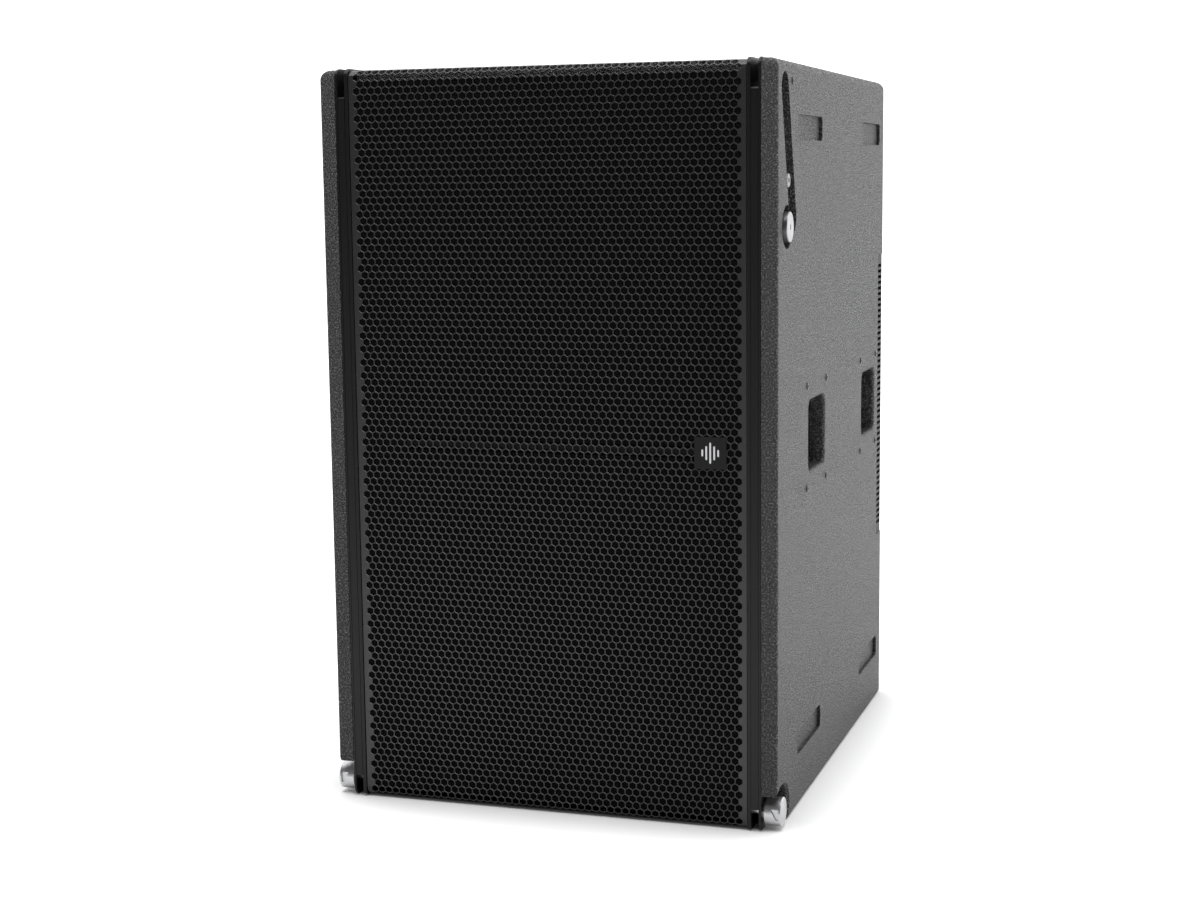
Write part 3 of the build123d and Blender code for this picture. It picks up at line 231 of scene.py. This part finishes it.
def anodised(name, tone, roughness, grain_scale):
    """Black anodised aluminium with drawn or sawn lines along one axis."""
    paint = Paint(name, roughness=roughness, Specular_IOR_Level=0.22)
    lines = paint.noise(1.0, 4.0, 0.6, paint.stretched(grain_scale))
    paint.bump(lines, 0.12, 0.0003)
    colour = paint.blend(lines, grey(tone * 0.6), grey(tone * 1.5))
    return paint.finish(colour, paint.remap(lines, 0.3, 0.7, roughness - 0.07, roughness + 0.1))


def turned_metal(name, tone, roughness, centres, axis="X", upper=1.0):
    """Bare turned metal: fine rings round the nearest of several axes, with painted shade that darkens it on the upper
    half by the factor given.
    """
    paint = Paint(name, roughness=roughness, metallic=1.0)
    split = paint.node("ShaderNodeSeparateXYZ", {"Vector": paint.place})
    across = ("Y", "Z") if axis == "X" else ("X", "Z")
    nearest = None
    for centre in centres:
        offsets = [paint.calc("SUBTRACT", split.outputs[name], value) for name, value in zip(across, centre)]
        squares = [paint.calc("MULTIPLY", offset, offset) for offset in offsets]
        distance = paint.calc("SQRT", paint.calc("ADD", *squares))
        nearest = distance if nearest is None else paint.calc("MINIMUM", nearest, distance)
    wobble = paint.calc("MULTIPLY", paint.noise(260.0, 2.0), 0.0004)
    rings = paint.calc("SINE", paint.calc("MULTIPLY", paint.calc("ADD", nearest, wobble), 9000.0))
    scratches = paint.noise(1.0, 5.0, 0.7, paint.stretched((900.0, 140.0, 900.0)))
    paint.bump(rings, 0.35, 0.0002)
    paint.bump(scratches, 0.25, 0.0004)
    spots = paint.noise(90.0, 3.0)
    bright = paint.blend(spots, grey(tone * 0.75), grey(tone))
    # Painted shade: a darker copy of the colour, scaled by the factor upper and blended in from z 0.3 m to 0.6 m, so
    # parts higher up the cabinet look shaded.
    painted_shade = paint.blend(spots, grey(tone * 0.75 * upper), grey(tone * upper))
    colour = paint.blend(paint.remap(split.outputs["Z"], 0.3, 0.6), bright, painted_shade)
    return paint.finish(colour, paint.remap(scratches, 0.3, 0.7, roughness - 0.08, roughness + 0.12))


def plain_metal(name, tone, roughness):
    """Plated or ground steel with small scuffs."""
    paint = Paint(name, roughness=roughness, metallic=1.0)
    scuffs = paint.noise(420.0, 4.0, 0.65)
    paint.bump(scuffs, 0.12, 0.0002)
    colour = paint.blend(paint.noise(40.0, 3.0), grey(tone * 0.8), grey(tone))
    return paint.finish(colour, paint.remap(scuffs, 0.3, 0.7, roughness - 0.08, roughness + 0.12))


def moulded(name, colour, roughness, grain=700.0):
    """Moulded plastic or rubber with a spark-eroded grain."""
    paint = Paint(name, roughness=roughness)
    texture = paint.cells(grain)
    paint.bump(texture, 0.25, 0.0003)
    darker = tuple(channel * 0.6 for channel in colour[:3]) + (1.0,)
    mixed = paint.blend(paint.noise(60.0, 3.0), darker, colour)
    return paint.finish(mixed, paint.remap(texture, 0.0, 0.8, roughness - 0.06, roughness + 0.1))


def paper_cone():
    """Pressed paper pulp: felted fibres."""
    paint = Paint("cone_paper", roughness=0.85)
    fibres = paint.noise(260.0, 6.0, 0.75)
    paint.bump(fibres, 0.5, 0.0006)
    colour = paint.blend(fibres, grey(0.008), grey(0.03))
    return paint.finish(colour, paint.remap(fibres, 0.3, 0.7, 0.75, 0.95))


def open_foam():
    """Black open-cell foam with deep pits; its near-black colour is partly the foam's own black and partly painted
    shade for the dark inside of the cabinet.
    """
    paint = Paint("grille_foam", roughness=0.95, Specular_IOR_Level=0.05)
    pits = paint.cells(700.0)
    paint.bump(pits, 1.0, 0.0012)
    # Near-black colour: partly the foam's own black, partly painted shade behind the grille.
    colour = paint.blend(paint.remap(pits, 0.1, 0.6), grey(0.001), grey(0.005))
    return paint.finish(colour, paint.remap(pits, 0.0, 0.7, 0.85, 1.0))


def woven(name, first, second):
    """Open woven cloth."""
    paint = Paint(name, roughness=0.85)
    waves = [
        paint.node("ShaderNodeTexWave", {"Vector": paint.place, "Scale": 260.0}, bands_direction=direction).outputs["Fac"]
        for direction in ("X", "Z")
    ]
    weave = paint.calc("MULTIPLY", *waves)
    paint.bump(weave, 0.5, 0.0005)
    return paint.finish(paint.blend(weave, first, second))


def circuit():
    """Board lacquer over faint tracks, with darker components."""
    paint = Paint("board_green", roughness=0.35)
    tracks = paint.cells(160.0, "F1", "Color")
    colour = paint.blend(paint.remap(paint.noise(80.0, 1.0), 0.48, 0.52), (0.01, 0.07, 0.03, 1), (0.02, 0.13, 0.05, 1))
    paint.bump(tracks, 0.2, 0.0002)
    return paint.finish(colour)


def wound():
    """Tape-wrapped ring core."""
    paint = Paint("transformer_wound", roughness=0.45)
    wraps = paint.node("ShaderNodeTexWave", {"Vector": paint.place, "Scale": 90.0, "Distortion": 2.0}).outputs["Fac"]
    paint.bump(wraps, 0.5, 0.0008)
    colour = paint.blend(wraps, (0.35, 0.16, 0.03, 1), (0.55, 0.3, 0.07, 1))
    return paint.finish(colour, paint.remap(wraps, 0.0, 1.0, 0.38, 0.52))


def axis_centre(node, axes):
    """Middle of a node's box, on the two named axes."""
    low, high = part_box(node)
    return tuple((getattr(low, axis) + getattr(high, axis)) / 2 for axis in axes)


def make_materials():
    """One material for each slot of the record."""
    knobs = [axis_centre(node, "yz") for node in ("upper_lock_knob_right", "base_lock_knob_right")]
    bolt = [axis_centre("guide_bolt_right", "yz")]
    return {
        "wall_coating": wall_coating(),
        "plywood": plywood(),
        "baffle_paint": matt_board(),
        "grille_steel": powder_coat("grille_steel", 0.013, 0.019, 0.30, 0.45),
        "grille_foam": open_foam(),
        "badge": powder_coat("badge", 0.002, 0.004, 0.5, 0.25),
        "rail_anodised": anodised("rail_anodised", 0.006, 0.32, (1400.0, 1400.0, 6.0)),
        "link_steel": powder_coat("link_steel", 0.03, 0.045, 0.5),
        "bolt_steel": turned_metal("bolt_steel", 0.28, 0.42, bolt),
        # Knobs on the upper half get painted shade: 0.58 of their tone.
        "knob_metal": turned_metal("knob_metal", 0.6, 0.34, knobs, upper=0.58),
        "pin_steel": plain_metal("pin_steel", 0.75, 0.25),
        "spring_steel": plain_metal("spring_steel", 0.5, 0.35),
        "handle_plastic": moulded("handle_plastic", grey(0.018), 0.5),
        "skid_plastic": moulded("skid_plastic", grey(0.014), 0.42),
        "screw_black": plain_metal("screw_black", 0.09, 0.42),
        "basket_cast": powder_coat("basket_cast", 0.02, 0.03, 0.5),
        "cone_paper": paper_cone(),
        "surround_rubber": moulded("surround_rubber", grey(0.012), 0.62, 900.0),
        "spider_cloth": woven("spider_cloth", (0.5, 0.36, 0.14, 1), (0.3, 0.2, 0.07, 1)),
        "coil_former": plain_metal("coil_former", 0.6, 0.35),
        "magnet_ferrite": moulded("magnet_ferrite", grey(0.03), 0.6, 300.0),
        "motor_steel": plain_metal("motor_steel", 0.45, 0.4),
        "gasket_rubber": moulded("gasket_rubber", grey(0.02), 0.8, 1200.0),
        "port_plastic": moulded("port_plastic", grey(0.015), 0.55),
        "panel_paint": powder_coat("panel_paint", 0.02, 0.03, 0.5),
        "heatsink_anodised": anodised("heatsink_anodised", 0.012, 0.55, (6.0, 900.0, 900.0)),
        "connector_plastic": moulded("connector_plastic", grey(0.016), 0.42),
        "dial_plastic": moulded("dial_plastic", grey(0.03), 0.45),
        "brass_bush": plain_metal("brass_bush", 0.6, 0.3),
        "board_green": circuit(),
        "transformer_wound": wound(),
    }


def paint_cad_nodes(materials):
    """Give every CAD node the material of its slot."""
    for part in frame["record"]["subparts"]:
        node = frame["nodes"][part["node"]]
        node.data.materials.clear()
        node.data.materials.append(materials[part["material_slot"]])


class Sheet:
    """The grille as a flat sheet that is bent back at its top and bottom. s runs up the sheet, 0 at its middle."""

    def __init__(self):
        low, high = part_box("front_grille")
        self.front = low.y
        self.half_width = high.x
        self.middle = (low.z + high.z) / 2
        self.flat = (high.z - low.z) / 2 - BEND_RADIUS
        self.half_length = self.flat + BEND_RADIUS * math.pi / 2 + (high.y - low.y - BEND_RADIUS)
        self.vertices = []
        self.faces = []
        self.known = {}

    def point(self, x, s, depth):
        """Vertex number of a point at this depth below the outer face. Shared points get one vertex."""
        key = (round(x * 1e6), round(s * 1e6), round(depth * 1e6))
        if key not in self.known:
            self.known[key] = len(self.vertices)
            self.vertices.append(self.bent(x, s, depth))
        return self.known[key]

    def bent(self, x, s, depth):
        side = 1 if s >= 0 else -1
        past = abs(s) - self.flat
        if past <= 0:
            return x, self.front + depth, self.middle + s
        angle = min(past / BEND_RADIUS, math.pi / 2)
        straight = max(past - BEND_RADIUS * math.pi / 2, 0.0)
        radius = BEND_RADIUS - depth
        y = self.front + BEND_RADIUS - radius * math.cos(angle) + straight
        z = self.middle + side * (self.flat + radius * math.sin(angle))
        return x, y, z

    def strip(self, first, second):
        """Outer and inner faces between two lines of (x, s) points that match one to one."""
        for depth, flip in ((0.0, False), (SHEET, True)):
            for index in range(len(first) - 1):
                corners = [first[index], first[index + 1], second[index + 1], second[index]]
                corners = corners[::-1] if flip else corners
                ring = [self.point(x, s, depth) for x, s in corners]
                if len(set(ring)) > 2:
                    self.faces.append(list(dict.fromkeys(ring)))

    def rim(self, line):
        """The cut edge of the sheet along a line of (x, s) points."""
        for (x0, s0), (x1, s1) in zip(line, line[1:]):
            self.faces.append([self.point(x0, s0, 0.0), self.point(x0, s0, SHEET),
                               self.point(x1, s1, SHEET), self.point(x1, s1, 0.0)])

    def cell(self, x, s):
        """One hexagonal cell with its punched hole."""
        rings = (
            (CELL_RADIUS, 0.0),
            (HOLE_RADIUS + HOLE_EDGE, 0.0),
            (HOLE_RADIUS, HOLE_EDGE),
            (HOLE_RADIUS, SHEET),
            (CELL_RADIUS, SHEET),
        )
        numbers = [[self.point(*corner(x, s, radius, index), depth) for index in range(6)] for radius, depth in rings]
        for outer, inner in zip(numbers, numbers[1:]):
            for index in range(6):
                after = (index + 1) % 6
                self.faces.append([outer[index], outer[after], inner[after], inner[index]])


def corner(x, s, radius, index):
    """A corner of an upright hexagon, counted anticlockwise from the top."""
    angle = math.radians(90 + 60 * index)
    return x + radius * math.cos(angle), s + radius * math.sin(angle)


def row_cells(row):
    """Cell centres of one row: rows take turns at 51 and 50 holes."""
    count = WIDE_ROW if row % 2 == 0 else WIDE_ROW - 1
    return [((index - (count - 1) / 2) * PITCH, row * ROW_STEP) for index in range(count)]


def side_border(sheet, side):
    """Plain strip between the holes and the left or right edge of the sheet."""
    inner = []
    for row in range(-TOP_ROW, TOP_ROW + 1):
        cells = row_cells(row)
        x, s = cells[-1] if side > 0 else cells[0]
        edge = x + side * PITCH / 2
        inner += [(edge, s - CELL_RADIUS / 2), (edge, s + CELL_RADIUS / 2)]
    outer = [(side * sheet.half_width, s) for _, s in inner]
    if side > 0:
        sheet.strip(inner[::-1], outer[::-1])
    else:
        sheet.strip(inner, outer)
    sheet.rim(outer if side > 0 else outer[::-1])
    return outer[0], outer[-1], inner[0], inner[-1]


def end_border(sheet, side, left, right):
    """Plain strip beyond the last row, round the bend and along the flange."""
    line = [left]
    cells = row_cells(side * TOP_ROW)
    for x, s in cells:
        line += [(x - PITCH / 2, s + side * CELL_RADIUS / 2), (x, s + side * CELL_RADIUS)]
    line += [(cells[-1][0] + PITCH / 2, cells[-1][1] + side * CELL_RADIUS / 2), right]
    start = abs(cells[0][1]) + CELL_RADIUS + 0.0005
    quarter = sheet.flat + BEND_RADIUS * math.pi / 2
    levels = [start + (quarter - start) * step / BEND_STEPS for step in range(BEND_STEPS + 1)]
    levels.append(sheet.half_length)
    for level in levels:
        following = [(x, side * level) for x, _ in line]
        sheet.strip(*((line, following) if side < 0 else (following, line)))
        sheet.rim([line[-1], following[-1]] if side > 0 else [following[-1], line[-1]])
        sheet.rim([following[0], line[0]] if side > 0 else [line[0], following[0]])
        line = following
    sheet.rim(line[::-1] if side > 0 else line)


def make_grille():
    """Perforated front grille, hole by hole."""
    sheet = Sheet()
    for row in range(-TOP_ROW, TOP_ROW + 1):
        for x, s in row_cells(row):
            sheet.cell(x, s)
    right = side_border(sheet, 1)
    left = side_border(sheet, -1)
    end_border(sheet, -1, left[0], right[0])
    end_border(sheet, 1, left[1], right[1])
    return mesh_object("perforated_grille", sheet.vertices, sheet.faces)


def mesh_object(name, vertices, faces, smooth=False):
    mesh = bpy.data.meshes.new(name)
    mesh.from_pydata(vertices, [], faces)
    built = bmesh.new()
    built.from_mesh(mesh)
    bmesh.ops.recalc_face_normals(built, faces=built.faces)
    built.to_mesh(mesh)
    built.free()
    mesh.polygons.foreach_set("use_smooth", [smooth] * len(mesh.polygons))
    made = bpy.data.objects.new(name, mesh)
    bpy.context.scene.collection.objects.link(made)
    return made


def make_motif():
    """Generic sound-level motif on the badge: five upright bars with rounded ends."""
    low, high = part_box("badge_plate")
    middle = (low + high) / 2
    vertices, faces = [], []
    steps = 8
    for index, height in enumerate(MOTIF_BARS):
        x = middle.x + (index - (len(MOTIF_BARS) - 1) / 2) * MOTIF_PITCH
        radius = MOTIF_BAR_WIDTH / 2
        reach = height / 2 - radius
        outline = []
        for turn in range(2 * steps + 2):
            end = 0 if turn <= steps else 1
            angle = math.pi * (turn - end) / steps
            outline.append((x + radius * math.cos(angle), middle.z + (reach if end == 0 else -reach) + radius * math.sin(angle)))
        start = len(vertices)
        count = len(outline)
        vertices += [(px, low.y - MOTIF_RELIEF, pz) for px, pz in outline]
        vertices += [(px, low.y + MOTIF_RELIEF, pz) for px, pz in outline]
        faces.append([start + number for number in range(count)])
        faces.append([start + count + number for number in reversed(range(count))])
        for number in range(count):
            after = (number + 1) % count
            faces.append([start + number, start + after, start + count + after, start + count + number])
    return mesh_object("badge_motif", vertices, faces)


def make_floor():
    """Wide pale floor. It glows a little away from the cabinet, so that it meets the bright surround unseen."""
    corners = [(x, y, 0.0) for x, y in ((-14, -8), (14, -8), (14, 14), (-14, 14))]
    floor = mesh_object("studio_floor", corners, [(0, 1, 2, 3)])
    paint = Paint("studio_floor", roughness=0.8)
    colour = paint.blend(paint.noise(0.8, 2.0), (0.9, 0.9, 0.9, 1), (0.92, 0.92, 0.92, 1))
    split = paint.node("ShaderNodeSeparateXYZ", {"Vector": paint.place})
    beside = paint.calc("SUBTRACT", paint.calc("ABSOLUTE", split.outputs["X"]), cad_high.x)
    before = paint.calc("SUBTRACT", paint.calc("ABSOLUTE", split.outputs["Y"]), cad_high.y)
    away = paint.calc("MAXIMUM", beside, before)
    # Painted light: the floor glows, and the glow falls to nothing at the cabinet's footprint, a painted contact shadow
    # round the base and under the cabinet; it also dims towards the camera.
    near = paint.remap(away, -0.02, 0.10, 0.0, FLOOR_GLOW[0])
    far = paint.remap(away, 0.10, 2.0, 0.0, FLOOR_GLOW[1])
    behind_camera = paint.remap(split.outputs["Y"], -1.2, -2.6, 1.0, 0.1)
    paint.feed(paint.shader.inputs["Emission Color"], grey(1.0))
    glow = paint.calc("MULTIPLY", paint.calc("ADD", near, far), behind_camera)
    paint.feed(paint.shader.inputs["Emission Strength"], glow)
    floor.data.materials.append(paint.finish(colour))


def make_light(name, place, target, size, power):
    data = bpy.data.lights.new(name, "AREA")
    data.shape = "RECTANGLE"
    data.size, data.size_y = size
    data.energy = power
    light = bpy.data.objects.new(name, data)
    light.location = place
    light.rotation_euler = (Vector(target) - Vector(place)).to_track_quat("-Z", "Y").to_euler()
    bpy.context.scene.collection.objects.link(light)


def make_lighting():
    """White studio, dimmer behind the camera, with a softbox overhead and one at the right."""
    world = bpy.data.worlds.new("studio")
    world.use_nodes = True
    tree = world.node_tree
    place = tree.nodes.new("ShaderNodeTexCoord")
    split = tree.nodes.new("ShaderNodeSeparateXYZ")
    strength = tree.nodes.new("ShaderNodeMapRange")
    strength.interpolation_type = "SMOOTHSTEP"
    for socket, value in zip(("From Min", "From Max", "To Min", "To Max"), (-0.25, 0.35, *SURROUND)):
        strength.inputs[socket].default_value = value
    tree.links.new(place.outputs["Generated"], split.inputs["Vector"])
    tree.links.new(split.outputs["Y"], strength.inputs["Value"])
    tree.links.new(strength.outputs["Result"], tree.nodes["Background"].inputs["Strength"])
    tree.nodes["Background"].inputs["Color"].default_value = (1, 1, 1, 1)
    bpy.context.scene.world = world
    make_light("overhead_softbox", (0.0, -0.9, 2.9), (0.0, -0.3, 0.0), (2.6, 1.6), 62.0)
    make_light("right_softbox", (3.4, 2.2, 1.2), (0.34, 0.0, 0.55), (1.8, 2.0), 22.0)


def make_camera():
    data = bpy.data.cameras.new("camera")
    data.sensor_width = SENSOR_WIDTH
    data.lens = CAMERA_LENS
    camera = bpy.data.objects.new("camera", data)
    turn = Matrix.Rotation(math.radians(CAMERA_YAW), 4, "Z")
    tilt = Matrix.Rotation(math.radians(90 + CAMERA_PITCH), 4, "X")
    roll = Matrix.Rotation(math.radians(CAMERA_ROLL), 4, "Z")
    place = Matrix.Translation((CAMERA_SIDE, cad_low.y - CAMERA_FROM_FRONT, CAMERA_HEIGHT))
    camera.matrix_world = place @ turn @ tilt @ roll
    bpy.context.scene.collection.objects.link(camera)
    bpy.context.scene.camera = camera


def make_trim_material():
    """Pale printed ink for the motif."""
    paint = Paint("pale_ink", roughness=0.45)
    grain = paint.noise(1500.0, 2.0)
    paint.bump(grain, 0.1, 0.0001)
    return paint.finish(paint.blend(grain, grey(0.55), grey(0.7)))


def place_piece(piece, material):
    piece.data.materials.append(material)
    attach(piece, "cabinet")


materials = make_materials()
paint_cad_nodes(materials)

grille = make_grille()
place_piece(grille, materials["grille_steel"])
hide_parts("front_grille")

place_piece(make_motif(), make_trim_material())

make_floor()
make_lighting()
make_camera()
bpy.context.scene.view_settings.view_transform = "Standard"
